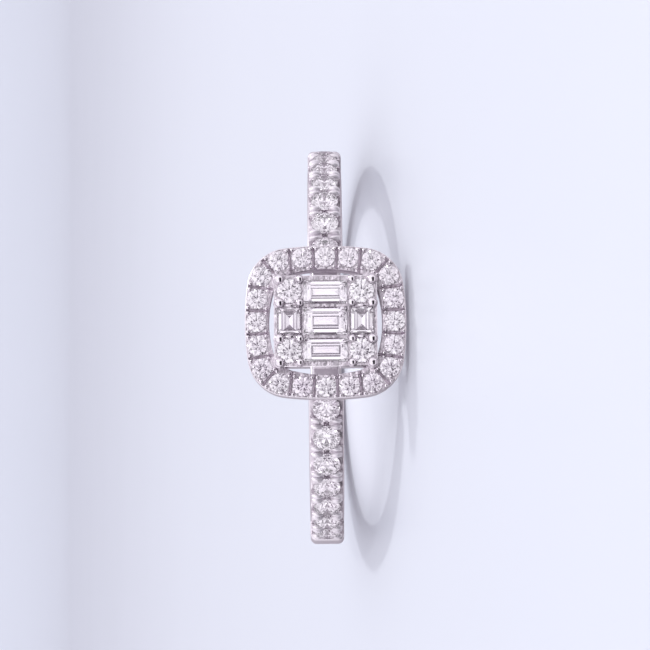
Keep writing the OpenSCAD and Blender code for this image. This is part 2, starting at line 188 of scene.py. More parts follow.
class HALORING_PG_studio(bpy.types.PropertyGroup):
    """The camera's place before the head, and the colours of the studio's light."""

    distance: a_length("Distance", "Distance of the camera from the finger hole's centre", 120)
    focal_share: FloatProperty(name="Focal length", description="Lens over sensor width", default=3.572)
    below: an_angle("Below", "Angle of the camera from the head's facing, towards -X", 6.34)
    roll: an_angle("Roll", "Turn of the camera about its line of sight", -0.5)
    aim_up: a_length("Aim up", "How far the camera is raised in its own picture", 1.17)
    aim_left: a_length("Aim left", "How far the camera is moved to its left", 0.04)
    dim: a_colour("Dim light", "Colour of the studio's walls where they are darkest", "#B9A6C4")
    bright: a_colour("Bright light", "Colour of the studio's walls where they are bright", "#FBF8FF")


class HALORING_PG_finish(bpy.types.PropertyGroup):
    """Colours of the finishes, and the seats' clearance."""

    gold: a_colour("White gold", "Polished white gold", "#F2EEF1")
    gold_shade: a_colour("White gold shade", "The greyer tone in polished white gold", "#E2DBE3")
    satin: a_colour("Satin white gold", "Grooves and seats that the graver left matte", "#EEE8ED")
    satin_shade: a_colour("Satin shade", "The darker tone in the matte metal", "#C9C0CA")
    stone: a_colour("Diamond", "Body of a clear stone", "#FFFFFF")
    stone_shade: a_colour("Diamond shade", "Body of a faintly tinted stone", "#F3E9F4")
    floor: a_colour("Floor", "The pale sheet that the ring lies on", "#DDE2EB")
    clearance: a_length("Clearance", "Room round a stone in its seat", 0.02)


GROUPS = {
    "ring_band": HALORING_PG_band,
    "ring_halo": HALORING_PG_halo,
    "ring_cluster": HALORING_PG_cluster,
    "ring_finish": HALORING_PG_finish,
    "ring_studio": HALORING_PG_studio,
}


def add_node(tree, kind, sockets=None, **settings):
    """Adds a node, sets its properties, and fills its sockets with values or links."""
    node = tree.nodes.new(kind)
    for name, value in settings.items():
        setattr(node, name, value)
    for socket, value in (sockets or {}).items():
        if isinstance(value, bpy.types.NodeSocket):
            tree.links.new(value, node.inputs[socket])
        else:
            node.inputs[socket].default_value = value
    return node


def two_tones(tree, size, tones, detail):
    """Noise of a real size in metres that mixes two colours, and the noise itself."""
    place = add_node(tree, "ShaderNodeTexCoord").outputs["Object"]
    pattern = {"Vector": place, "Scale": 1 / size, "Detail": detail}
    noise = add_node(tree, "ShaderNodeTexNoise", pattern).outputs["Fac"]
    first, second = tones
    mix = add_node(tree, "ShaderNodeMix", {0: noise, 6: (*first, 1), 7: (*second, 1)}, data_type="RGBA")
    return mix.outputs[2], noise


def white_gold(tree, tone, patch, roughness, detail=3.0, metallic=1.0, grain=None):
    """White gold whose tone and gloss drift over patches of a real size, with a raised grain or none."""
    finish = bpy.context.scene.ring_finish
    tones = (getattr(finish, tone), getattr(finish, tone + "_shade"))
    colour, noise = two_tones(tree, patch, tones, detail)
    # Most of a noise lies between 0.3 and 0.7
    drift = {"Value": noise, "From Min": 0.3, "From Max": 0.7, "To Min": roughness[0], "To Max": roughness[1]}
    gloss = add_node(tree, "ShaderNodeMapRange", drift).outputs["Result"]
    surface = {"Base Color": colour, "Metallic": metallic, "Roughness": gloss}
    if grain:
        place = add_node(tree, "ShaderNodeTexCoord").outputs["Object"]
        marks = {"Vector": place, "Scale": 1 / grain["size"], "Detail": grain["detail"]}
        height = add_node(tree, "ShaderNodeTexNoise", marks).outputs["Fac"]
        relief = {"Height": height, "Strength": grain["strength"], "Distance": grain["depth"]}
        surface["Normal"] = add_node(tree, "ShaderNodeBump", relief).outputs["Normal"]
    return surface


def polished_white_gold(tree):
    """Rhodium-bright white gold, polished: nearly a mirror, with faint wheel marks that soften it."""
    # Real wheel marks are too fine to show in the render, so these are drawn coarser
    marks = {"size": 0.12 * MM, "detail": 2.0, "strength": 0.1, "depth": 0.002 * MM}
    return white_gold(tree, "gold", patch=1.6 * MM, roughness=(0.03, 0.06), grain=marks)


def burnished_white_gold(tree):
    """White gold smoothed by hand: bright, but too soft in its gloss to mirror anything sharply."""
    return white_gold(tree, "gold", patch=0.5 * MM, roughness=(0.33, 0.41))


def rubbed_white_gold(tree):
    """White gold rubbed down by the setter's tool: pale and even, as fine scratches scatter its light."""
    return white_gold(tree, "gold", patch=0.5 * MM, roughness=(0.42, 0.55), metallic=0.75)


def satin_white_gold(tree):
    """White gold as the graver and the drill leave it: matte, greyer, with a fine grain."""
    # The real grain is too fine to show in the render, so it is drawn coarser and deeper
    size = 0.2 * MM
    detail = 4.0
    grain = {"size": size, "detail": detail, "strength": 1.0, "depth": 0.07 * MM}
    return white_gold(tree, "satin", patch=size, roughness=(0.32, 0.46), detail=detail, grain=grain)


def cut_diamond(tree):
    """Colourless diamond with polished facets: a high index, so light bounces inside and comes back."""
    finish = bpy.context.scene.ring_finish
    colour, _ = two_tones(tree, 1.1 * MM, (finish.stone, finish.stone_shade), detail=0.0)
    return {"Base Color": colour, "Metallic": 0.0, "Roughness": 0.0, "IOR": 2.417, "Transmission Weight": 1.0}


def floor_acrylic_sheet(tree):
    """Pale lavender acrylic sheet: smooth, softly glossy, with a hardly visible cloudiness."""
    clear = bpy.context.scene.ring_finish.floor
    cloud_tone = 0.97
    colour, _ = two_tones(tree, 40 * MM, (clear, [c * cloud_tone for c in clear]), detail=3.0)
    return {"Base Color": colour, "Roughness": 0.35, "IOR": 1.49}


def made_once(finish):
    """A finish as a material, made the first time it is asked for: its function gives the shader's values."""
    material = bpy.data.materials.get(finish.__name__)
    if not material:
        material = bpy.data.materials.new(finish.__name__)
        material.use_nodes = True
        tree = material.node_tree
        tree.nodes.clear()
        shader = add_node(tree, "ShaderNodeBsdfPrincipled", finish(tree))
        add_node(tree, "ShaderNodeOutputMaterial", {"Surface": shader.outputs["BSDF"]})
    return material


def add_object(name, mesh, *finishes):
    """Links a mesh as an object at the origin, with the finishes as its material slots."""
    for finish in finishes:
        mesh.materials.append(made_once(finish))
    piece = bpy.data.objects.new(name, mesh)
    bpy.context.scene.collection.objects.link(piece)
    return piece


def mesh_from(shape, name):
    """Closes a bmesh into a mesh with its faces turned outwards."""
    bmesh.ops.remove_doubles(shape, verts=shape.verts, dist=WELD)
    bmesh.ops.recalc_face_normals(shape, faces=shape.faces)
    mesh = bpy.data.meshes.new(name)
    shape.to_mesh(mesh)
    shape.free()
    return mesh


def add_loop_rings(shape, rings, slot_of=None):
    """Joins closed rings of points in a closed loop, as a tube that bites its own tail."""
    rows = [[shape.verts.new(p) for p in ring] for ring in rings]
    count = len(rows[0])
    for i, row in enumerate(rows):
        after = rows[(i + 1) % len(rows)]
        for k in range(count):
            face = shape.faces.new((row[k], row[(k + 1) % count], after[(k + 1) % count], after[k]))
            if slot_of:
                face.material_index = slot_of[k]


def add_capped_rings(shape, rings, slot=OUTER):
    """Joins closed rings of points in a row, and returns its two end faces and then its sides."""
    rows = [[shape.verts.new(p) for p in ring] for ring in rings]
    count = len(rows[0])
    faces = [shape.faces.new(rows[0]), shape.faces.new(rows[-1][::-1])]
    for row, after in zip(rows, rows[1:]):
        for k in range(count):
            faces.append(shape.faces.new((row[k], after[k], after[(k + 1) % count], row[(k + 1) % count])))
    for face in faces:
        face.material_index = slot
    return faces


def add_lathe(shape, profile, place, steps=40, slot=OUTER):
    """A solid of revolution from (radius, height) pairs, its two ends on the axis."""
    low = shape.verts.new(place @ Vector((0, 0, profile[0][1])))
    top = shape.verts.new(place @ Vector((0, 0, profile[-1][1])))
    turns = [2 * math.pi * k / steps for k in range(steps)]
    rows = []
    for r, z in profile[1:-1]:
        rows.append([shape.verts.new(place @ Vector((r * math.cos(a), r * math.sin(a), z))) for a in turns])
    for k in range(steps):
        n = (k + 1) % steps
        faces = [shape.faces.new((low, rows[0][n], rows[0][k]))]
        faces.append(shape.faces.new((top, rows[-1][k], rows[-1][n])))
        faces += [shape.faces.new((a[k], a[n], b[n], b[k])) for a, b in zip(rows, rows[1:])]
        for face in faces:
            face.material_index = slot


def carve(piece, *shapes):
    """Cuts closed bmeshes out of a piece, one after the other, keeping the cutters' finishes."""
    for shape in shapes:
        cutter = bpy.data.objects.new("cutter", mesh_from(shape, "cutter"))
        for finish in piece.data.materials:
            cutter.data.materials.append(finish)
        bpy.context.scene.collection.objects.link(cutter)
        cut = piece.modifiers.new("cut", "BOOLEAN")
        cut.operation = "DIFFERENCE"
        cut.solver = "MANIFOLD"
        cut.object = cutter
        bake_modifiers(piece)
        bpy.data.objects.remove(cutter)


def bake_modifiers(piece):
    """Turns a piece's evaluated shape into its plain mesh."""
    seen = piece.evaluated_get(bpy.context.evaluated_depsgraph_get())
    mesh = bpy.data.meshes.new_from_object(seen)
    piece.modifiers.clear()
    piece.data = mesh


def settle(piece, sharp=32):
    """Lays a piece down in its mesh, smooths it between its sharp edges and rides it on the ring."""
    piece.data.transform(LAID)
    piece.data.shade_smooth()
    piece.data.set_sharp_from_angle(angle=math.radians(sharp))
    weigh = piece.modifiers.new("weigh", "WEIGHTED_NORMAL")
    weigh.keep_sharp = True
    bake_modifiers(piece)
    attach(piece, "root")


def turned_about_finger(angle):
    """The upright ring turned about the finger, from the top of the head towards +X."""
    return Matrix.Rotation(angle, 4, "Y")


def stone_place(name):
    """A stone's frame in the upright ring, its girdle on z = 0, and its size along X and Y."""
    # A node's mesh is loose triangles, so each of its corners is there several times
    digits = 8
    corners = {tuple(round(c, digits) for c in UPRIGHT @ v.co) for v in frame["nodes"][name].data.vertices}
    points = [Vector(p) for p in corners]
    middle = sum(points, Vector()) / len(points)
    on_shoulder = name in LEFT_STONES or name in RIGHT_STONES
    turn = turned_about_finger(math.atan2(middle.x, middle.z) if on_shoulder else 0.0)
    own = [turn.inverted() @ p for p in points]
    low = [min(p[k] for p in own) for k in range(3)]
    high = [max(p[k] for p in own) for k in range(3)]
    x = (low[0] + high[0]) / 2
    y = (low[1] + high[1]) / 2
    # The girdle is at the widest point, and at the lowest one of those that are as wide
    tie_break = 0.001
    widest = max(own, key=lambda p: abs(p.x - x) - tie_break * p.z)
    return turn @ Matrix.Translation((x, y, widest.z)), high[0] - low[0], high[1] - low[1]


# A drilled seat from its point up: share of its radius, and height as a share of the stone's width
SEAT_PROFILE = ((0.0, -0.47), (0.35, -0.32), (1.0, -0.01), (1.0, 0.05))
SEAT_MOUTH = 0.93


def add_round_seat(shape, name, open_up):
    """A drilled seat: a cone under the stone, a bearing at its girdle, and open above it."""
    place, across, _ = stone_place(name)
    r = across / 2 + bpy.context.scene.ring_finish.clearance
    profile = [(share * r, height * across) for share, height in SEAT_PROFILE]
    profile += [(SEAT_MOUTH * r, open_up), (0, open_up)]
    add_lathe(shape, profile, place, slot=CUT)


def shoulder_angles(names):
    """Angles of a shoulder's stones about the finger, and the pitch between them, all positive."""
    spots = [stone_place(n)[0].translation for n in names]
    angles = sorted(abs(math.atan2(p.x, p.z)) for p in spots)
    return angles, (angles[-1] - angles[0]) / (len(angles) - 1)


def rounded_section(half, low, high, top_round, low_round, steps=6):
    """A cross-section as (across, radius) points: two rounded outer and two rounded inner corners."""
    corners = (
        (half - top_round, high - top_round, top_round, 0),
        (top_round - half, high - top_round, top_round, 90),
        (low_round - half, low + low_round, low_round, 180),
        (half - low_round, low + low_round, low_round, 270),
    )
    points = []
    for y, r, rounding, start in corners:
        for k in range(steps + 1):
            a = math.radians(start + 90 * k / steps)
            points.append((y + rounding * math.cos(a), r + rounding * math.sin(a)))
    return points


def section_at(angle, section):
    """A cross-section stood up at an angle about the finger."""
    return [Vector((r * math.sin(angle), y, r * math.cos(angle))) for y, r in section]


def smooth_share(x):
    """Nought below 0, one above 1, and an even ease between them."""
    x = min(1, max(0, x))
    return x * x * (3 - 2 * x)


def build_band():
    """The plain shank, the base under the shoulders and the narrow bridge, swept as one loop."""
    band = bpy.context.scene.ring_band
    angles, pitch = shoulder_angles(RIGHT_STONES)
    shoulder_end = angles[-1] + pitch / 2
    # The shank rises in a rounded lip where the shoulder ends, and the first station is just before it
    lip_turn = math.radians(1)
    lip_drop = 0.12 * MM
    lip = [shoulder_end + share * lip_turn for share in (-0.02, 0, 0.25, 0.6, 1)]
    base_rounding = 0.12 * MM
    stations = 180
    even = [math.pi * k / stations for k in range(stations + 1)]
    half_turn = sorted([a for a in even if not lip[0] < a < lip[-1]] + lip)
    around = [-a for a in reversed(half_turn[1:-1])] + half_turn
    rings = []
    for angle in around:
        high = FINGER_R + band.base
        rounding = base_rounding
        if abs(angle) > (lip[0] + lip[1]) / 2:
            risen = min(1, max(0, abs(angle) - shoulder_end) / lip_turn)
            high = FINGER_R + band.shank - lip_drop * (1 - math.sqrt(1 - (1 - risen) ** 2))
            rounding = band.rounding
        width = band.width
        if math.cos(angle) > 0:
            reach = (abs(math.sin(angle)) * (FINGER_R + band.base) - band.bridge_half) / band.bridge_ramp
            width = band.bridge + (band.width - band.bridge) * smooth_share(reach)
        rings.append(section_at(angle, rounded_section(width / 2, FINGER_R, high, rounding, band.edge)))
    shape = bmesh.new()
    add_loop_rings(shape, rings)
    piece = add_object("band", mesh_from(shape, "band"), burnished_white_gold)
    settle(piece)
    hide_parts("band_and_setting")


def deck_outline(angles, pitch):
    """The side view of a shoulder's walls and troughs, as (along, out) points."""
    band = bpy.context.scene.ring_band
    deck_r = FINGER_R + band.deck
    start = angles[0] - pitch / 2
    half = deck_r * math.tan(pitch / 2) - band.wall
    end_out = 0.14 * MM
    round_over = 0.04 * MM
    sunk = FINGER_R + band.base - 0.1 * MM
    trough_steps = 15

    def turn(angle, along, out):
        """A point of the side view, from where it lies along and out at an angle about the finger."""
        sine = math.sin(angle)
        cosine = math.cos(angle)
        return along * cosine + out * sine, out * cosine - along * sine

    points = [turn(start, -end_out, deck_r)]
    for k, angle in enumerate(angles):
        wall = start + k * pitch
        points.append(turn(wall, band.wall - round_over, deck_r))
        points.append(turn(wall, band.wall, deck_r - round_over))
        for t in range(trough_steps + 1):
            a = math.pi * (1 + t / trough_steps)
            points.append(turn(angle, half * math.cos(a), deck_r - band.trough + half * (1 + math.sin(a))))
        points.append(turn(wall + pitch, -band.wall, deck_r - round_over))
        points.append(turn(wall + pitch, round_over - band.wall, deck_r))
    end = start + len(angles) * pitch
    points += [turn(end, end_out, deck_r), turn(end, end_out, sunk)]
    points += [turn(start + k * pitch / 2, 0, sunk) for k in range(2 * len(angles) - 1, 0, -1)]
    points.append(turn(start, -end_out, sunk))
    return points


def channel_cutter(start, end):
    """What opens a shoulder's walls along their middle, from one angle about the finger to another."""
    band = bpy.context.scene.ring_band
    deck_r = FINGER_R + band.deck
    above = 0.5 * MM
    steps = 90
    low = deck_r - band.channel_deep
    section = rounded_section(band.channel, low, deck_r + above, top_round=0.05 * MM, low_round=0.15 * MM)
    shape = bmesh.new()
    rings = [section_at(start + (end - start) * k / steps, section) for k in range(steps + 1)]
    add_capped_rings(shape, rings, CUT)
    return shape


def build_shoulders():
    """The two rows of scalloped walls, drilled for their stones and opened along the middle."""
    band = bpy.context.scene.ring_band
    half = band.deck_width / 2
    ease = 0.05 * MM
    mid = MID_ROUND * ease
    edge = [(half, ease), (half - mid, mid), (half - ease, 0)]
    levels = [(-y, inset) for y, inset in edge] + edge[::-1]
    for side, names, label in SHOULDERS:
        angles, pitch = shoulder_angles(names)
        outline = deck_outline(angles, pitch)
        rings = []
        for y, inset in levels:
            scale = 1 - inset / (FINGER_R + band.deck)
            rings.append([Vector((side * x * scale, y, z * scale)) for x, z in outline])
        shape = bmesh.new()
        for face in add_capped_rings(shape, rings)[2:]:
            face.material_index = CUT
        piece = add_object(label, mesh_from(shape, label), burnished_white_gold, satin_white_gold)
        seats = bmesh.new()
        for name in names:
            add_round_seat(seats, name, open_up=0.4 * MM)
        carve(piece, seats, channel_cutter(side * (angles[0] - pitch), side * (angles[-1] + pitch)))
        settle(piece)


def station_mesh(name, places):
    """A mesh of bare points with a turn each, on which the prongs are set out."""
    mesh = bpy.data.meshes.new(name)
    laid = [LAID @ place for place in places]
    mesh.from_pydata([m.translation for m in laid], [], [])
    turns = mesh.attributes.new("turn", "QUATERNION", "POINT")
    turns.data.foreach_set("value", [v for m in laid for v in m.to_quaternion()])
    return mesh


# The prong field's inputs besides its points, and the kind of each
PRONG_INPUTS = {
    "Half width": "NodeSocketFloat",
    "Half length": "NodeSocketFloat",
    "Height": "NodeSocketFloat",
    "Root": "NodeSocketFloat",
    "Taper": "NodeSocketFloat",
    "Segments": "NodeSocketInt",
    "Rings": "NodeSocketInt",
    "Material": "NodeSocketMaterial",
}

# How a point of a unit ball moves: what comes out, the operation, and the two values that go in
TIP_SUMS = (
    ("ahead", "ADD", "y", 1.0),
    ("half taper", "MULTIPLY", "Taper", 0.5),
    ("narrowing", "MULTIPLY", "half taper", "ahead"),
    ("kept", "SUBTRACT", 1.0, "narrowing"),
    ("side", "MULTIPLY", "x", "Half width"),
    ("across", "MULTIPLY", "side", "kept"),
    ("along", "MULTIPLY", "y", "Half length"),
    ("upper", "MAXIMUM", "z", 0.0),
    ("above", "MULTIPLY", "upper", "Height"),
    ("lower", "MINIMUM", "z", 0.0),
    ("below", "MULTIPLY", "lower", "Root"),
    ("rise", "ADD", "above", "below"),
)


def prong_tree():
    """Geometry nodes that stand a rounded tip on every point: a ball stretched up, down and sideways."""
    tree = bpy.data.node_groups.get("Prong field")
    if tree:
        return tree
    tree = bpy.data.node_groups.new("Prong field", "GeometryNodeTree")
    tree.interface.new_socket("Geometry", in_out="INPUT", socket_type="NodeSocketGeometry")
    for name, kind in PRONG_INPUTS.items():
        tree.interface.new_socket(name, in_out="INPUT", socket_type=kind)
    tree.interface.new_socket("Geometry", in_out="OUTPUT", socket_type="NodeSocketGeometry")
    given = add_node(tree, "NodeGroupInput").outputs
    size = {"Segments": given["Segments"], "Rings": given["Rings"], "Radius": 1.0}
    ball = add_node(tree, "GeometryNodeMeshUVSphere", size).outputs["Mesh"]
    spot = add_node(tree, "GeometryNodeInputPosition").outputs["Position"]
    part = add_node(tree, "ShaderNodeSeparateXYZ", {"Vector": spot}).outputs
    known = {name: given[name] for name in PRONG_INPUTS}
    known.update(x=part["X"], y=part["Y"], z=part["Z"])
    for result, operation, first, second in TIP_SUMS:
        sockets = {0: known.get(first, first), 1: known.get(second, second)}
        known[result] = add_node(tree, "ShaderNodeMath", sockets, operation=operation).outputs[0]
    corner = {"X": known["across"], "Y": known["along"], "Z": known["rise"]}
    moved = add_node(tree, "ShaderNodeCombineXYZ", corner).outputs["Vector"]
    tip = add_node(tree, "GeometryNodeSetPosition", {"Geometry": ball, "Position": moved}).outputs["Geometry"]
    turn = add_node(tree, "GeometryNodeInputNamedAttribute", {"Name": "turn"}, data_type="QUATERNION")
    stood = {"Points": given["Geometry"], "Instance": tip, "Rotation": turn.outputs["Attribute"]}
    field = add_node(tree, "GeometryNodeInstanceOnPoints", stood).outputs["Instances"]
    real = add_node(tree, "GeometryNodeRealizeInstances", {"Geometry": field}).outputs["Geometry"]
    smooth = add_node(tree, "GeometryNodeSetShadeSmooth", {"Geometry": real}).outputs["Geometry"]
    dressed = add_node(tree, "GeometryNodeSetMaterial", {"Geometry": smooth, "Material": given["Material"]})
    add_node(tree, "NodeGroupOutput", {"Geometry": dressed.outputs["Geometry"]})
    return tree


def add_prongs(name, places, finish, half, height, root, steps, taper=0.0):
    """Stands a tip on every place, with its half sizes, height, root below the place, steps and taper."""
    piece = add_object(name, station_mesh(name, places))
    nodes = piece.modifiers.new("prongs", "NODES")
    nodes.node_group = prong_tree()
    values = dict(zip(PRONG_INPUTS, (*half, height, root, taper, *steps, made_once(finish))))
    for item in nodes.node_group.interface.items_tree:
        if item.in_out == "INPUT" and item.name in values:
            nodes[item.identifier] = values[item.name]
    bake_modifiers(piece)
    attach(piece, "root")


def build_shoulder_prongs():
    """Every wall ends in a split prong at either side of the band: two leaf-shaped tips."""
    band = bpy.context.scene.ring_band
    places = []
    for side, names, _ in SHOULDERS:
        angles, pitch = shoulder_angles(names)
        last = len(angles)
        for k in range(last + 1):
            turn = turned_about_finger(side * (angles[0] + (k - 0.5) * pitch))
            # A wall at either end of the row has a stone at one side only, and one tip there
            tips = {0: (1,), last: (-1,)}.get(k, (-1, 1))
            for edge in (-1, 1):
                for tip in tips:
                    spot = Vector((side * tip * band.tip_step, edge * band.tip_side, FINGER_R + band.deck))
                    inward = Matrix.Rotation(math.pi if edge > 0 else 0, 4, "Z")
                    lean = Matrix.Rotation(band.tip_lean * side * tip, 4, "Y")
                    places.append(turn @ Matrix.Translation(spot) @ lean @ inward)
    add_prongs(
        "shoulder_prongs",
        places,
        rubbed_white_gold,
        half=(band.tip_half, band.tip_reach),
        height=band.tip_height,
        root=0.3 * MM,
        steps=(16, 12),
        taper=0.4,
    )


def cushion_arcs(half_x, half_y, corner, bow):
    """A cushion outline as arcs from the middle of its +X side: centre, radius, from and to."""
    cx = half_x - corner - bow
    cy = half_y - corner - bow
    rx = corner + bow / 2 + cy * cy / (2 * bow)
    ry = corner + bow / 2 + cx * cx / (2 * bow)
    ax = math.atan2(cy, cx - half_x + rx)
    ay = math.atan2(cx, cy - half_y + ry)
    quarter = math.pi / 2
    half = [
        (Vector((half_x - rx, 0)), rx, -ax, ax),
        (Vector((cx, cy)), corner, ax, quarter - ay),
        (Vector((0, half_y - ry)), ry, quarter - ay, quarter + ay),
        (Vector((-cx, cy)), corner, quarter + ay, math.pi - ax),
    ]
    return half + [(-c, r, a + math.pi, b + math.pi) for c, r, a, b in half]


def along_arcs(arcs, share):
    """The point at a share of an outline's length, from the middle of its first arc, and its facing."""
    lengths = [r * (end - start) for _, r, start, end in arcs]
    left = (share * sum(lengths) + lengths[0] / 2) % sum(lengths)
    slack = 1e-12
    for (centre, r, start, _), length in zip(arcs, lengths):
        if left <= length + slack:
            angle = start + left / r
            return centre + r * Vector((math.cos(angle), math.sin(angle))), angle
        left -= length
    raise ValueError("the share lies past the outline")


def halo_reach():
    """How far the line of the halo's stones reaches along X and along Y."""
    spots = [stone_place(n)[0].translation for n in HALO_STONES]
    return max(p.x for p in spots), max(p.y for p in spots)


def halo_line():
    """The line of the halo's stones: a cushion that reaches as far as they do."""
    halo = bpy.context.scene.ring_halo
    return cushion_arcs(*halo_reach(), halo.corner, halo.bow)


def halo_top():
    """Distance of the halo's top from the finger's axis."""
    halo = bpy.context.scene.ring_halo
    return FINGER_R + halo.base + halo.wall


def tray_top():
    """Distance of the tray's top from the finger's axis."""
    return halo_top() + bpy.context.scene.ring_cluster.rise


def on_halo(arcs, share, out, z):
    """A place on the halo, facing outwards from its line of stones."""
    point, angle = along_arcs(arcs, share)
    place = Matrix.Translation((point.x, point.y, z)) @ Matrix.Rotation(angle, 4, "Z")
    return place @ Matrix.Translation((out, 0, 0))


# One side of a graver's groove below the halo's top, in half widths and depths of the groove
GROOVE_SIDE = ((-1.2, 0.0), (-1.0, -0.7), (0.0, -1.0))


def groove_cutter(arcs):
    """The graver's grooves across the halo's top, one between every two stones."""
    halo = bpy.context.scene.ring_halo
    above = 0.2 * MM
    above_half = 1.6
    inner_end = -1.3 * MM
    outer_end = halo.rim - 0.06 * MM
    half = halo.groove / 2
    section = [(-above_half * half, above)] + [(x * half, z * halo.groove_deep) for x, z in GROOVE_SIDE]
    section += [(-x, z) for x, z in reversed(section[:-1])]
    shape = bmesh.new()
    count = len(HALO_STONES)
    for k in range(count):
        place = on_halo(arcs, (k + 0.5) / count, 0, halo_top())
        rings = [[place @ Vector((x, y, z)) for y, z in section] for x in (inner_end, outer_end)]
        add_capped_rings(shape, rings, CUT)
    return shape


def build_halo():
    """The halo's frame: a cushion ring, drilled for its stones, with a graver's groove between them."""
    halo = bpy.context.scene.ring_halo
    arcs = halo_line()
    low = FINGER_R + halo.base
    deck = halo_top()
    opening = [reach + halo.rim - halo.opening_in for reach in halo_reach()]
    inner_arcs = cushion_arcs(*opening, halo.opening_corner, halo.opening_bow)
    steps = 320
    foot = 0.12 * MM
    foot_mid = MID_ROUND * foot
    outer_edge = 0.03 * MM
    inner_edge = 0.045 * MM
    inner_mid = 0.012 * MM
    rings = []
    for k in range(steps):
        point, angle = along_arcs(arcs, k / steps)
        rim = point + halo.rim * Vector((math.cos(angle), math.sin(angle)))
        mouth, _ = along_arcs(inner_arcs, k / steps)
        way = (rim - mouth).normalized()
        line = (
            (mouth + foot * way, low),
            (rim - foot * way, low),
            (rim - foot_mid * way, low + foot_mid),
            (rim, low + foot),
            (rim, deck - outer_edge),
            (rim - outer_edge * way, deck),
            (mouth + inner_edge * way, deck),
            (mouth + inner_mid * way, deck - inner_mid),
            (mouth, deck - inner_edge),
            (mouth, low + foot),
        )
        rings.append([Vector((p.x, p.y, z)) for p, z in line])
    # The sides of that line: the top and the opening's wall are matte, and they are the sixth to the ninth
    slots = [OUTER] * 5 + [CUT] * 4 + [OUTER]
    shape = bmesh.new()
    add_loop_rings(shape, rings, slots)
    piece = add_object("halo_frame", mesh_from(shape, "halo_frame"), burnished_white_gold, satin_white_gold)
    seats = bmesh.new()
    for name in HALO_STONES:
        add_round_seat(seats, name, open_up=0.3 * MM)
    carve(piece, seats, groove_cutter(arcs))
    settle(piece, sharp=28)


def build_halo_beads():
    """Four beads at every groove: a pair outside the line of stones and a pair inside it."""
    halo = bpy.context.scene.ring_halo
    arcs = halo_line()
    total = sum(r * (end - start) for _, r, start, end in arcs)
    count = len(HALO_STONES)
    r = halo.bead_r
    places = []
    for k in range(count):
        for tip in (-1, 1):
            share = (k + 0.5) / count + tip * halo.bead_step / total
            for out in (halo.bead_out, -halo.bead_in):
                places.append(on_halo(arcs, share, out, halo_top() + halo.bead_height - r))
    add_prongs("halo_beads", places, polished_white_gold, (r, r), height=r, root=0.2 * MM, steps=(14, 10))


def add_baguette_seat(shape, name, open_up):
    """The pocket of a baguette: a ledge at its girdle and a trough below it."""
    place, across, along = stone_place(name)
    # A baguette sits closer in its pocket than a round stone in its seat
    closer = 4
    room = bpy.context.scene.ring_finish.clearance / closer
    short = min(across, along)
    trough = 0.56 * short
    trough_inset = 0.45 * short
    ledge = 0.02 * short
    rings = []
    for z, inset in ((-trough, trough_inset), (-ledge, 0), (0, 0), (open_up, 0)):
        x = across / 2 + room - inset
        y = along / 2 + room - inset
        rings.append([place @ Vector((u * x, v * y, z)) for u, v in CORNERS])
    add_capped_rings(shape, rings, CUT)


def cut_rectangle(x, y, cut):
    """The eight corners of a rectangle whose own corners are cut off, from its half sizes."""
    side = (x, y - cut)
    end = (x - cut, y)
    pairs = ((side, end), (end, side), (side, end), (end, side))
    return [(u * a, v * b) for (u, v), pair in zip(CORNERS, pairs) for a, b in pair]


def build_tray():
    """The tray that holds the cluster, pocketed for its stones."""
    cluster = bpy.context.scene.ring_cluster
    cut = 0.1 * MM
    foot = 0.05 * MM
    edge = 0.03 * MM
    deck = tray_top()
    low = deck - cluster.depth
    rings = []
    for z, inset in ((low, foot), (low + foot, 0), (deck - edge, 0), (deck, edge)):
        corners = cut_rectangle(cluster.half_x - inset, cluster.half_y - inset, cut)
        rings.append([Vector((x, y, z)) for x, y in corners])
    shape = bmesh.new()
    add_capped_rings(shape, rings)[1].material_index = CUT
    piece = add_object("tray", mesh_from(shape, "tray"), polished_white_gold, satin_white_gold)
    seats = bmesh.new()
    for name in CORNER_ROUNDS:
        add_round_seat(seats, name, open_up=0.3 * MM)
    for name in MIDDLE_BAGUETTES + SIDE_BAGUETTES:
        add_baguette_seat(seats, name, open_up=0.3 * MM)
    carve(piece, seats)
    settle(piece)


# A post from its foot to its head, as shares of its radius and its length
POST_PROFILE = ((0.0, 0.0), (1.0, 0.0), (0.94, 0.3), (0.9, 0.6), (1.0, 1.0), (0.0, 1.0))


def build_posts():
    """The four posts that carry the tray on the bridge, each a little slimmer in its middle."""
    cluster = bpy.context.scene.ring_cluster
    foot_z = FINGER_R + 0.45 * MM
    head_z = tray_top() - cluster.depth + 0.2 * MM
    shape = bmesh.new()
    for sx in (-1, 1):
        for sy in (-1, 1):
            foot = Vector((sx * cluster.foot_x, sy * cluster.foot_y, foot_z))
            head = Vector((sx * cluster.head_x, sy * cluster.head_y, head_z))
            way = head - foot
            place = Matrix.Translation(foot) @ way.to_track_quat("Z", "Y").to_matrix().to_4x4()
            profile = [(share * cluster.post, height * way.length) for share, height in POST_PROFILE]
            add_lathe(shape, profile, place, steps=32)
    piece = add_object("posts", mesh_from(shape, "posts"), polished_white_gold)
    settle(piece)


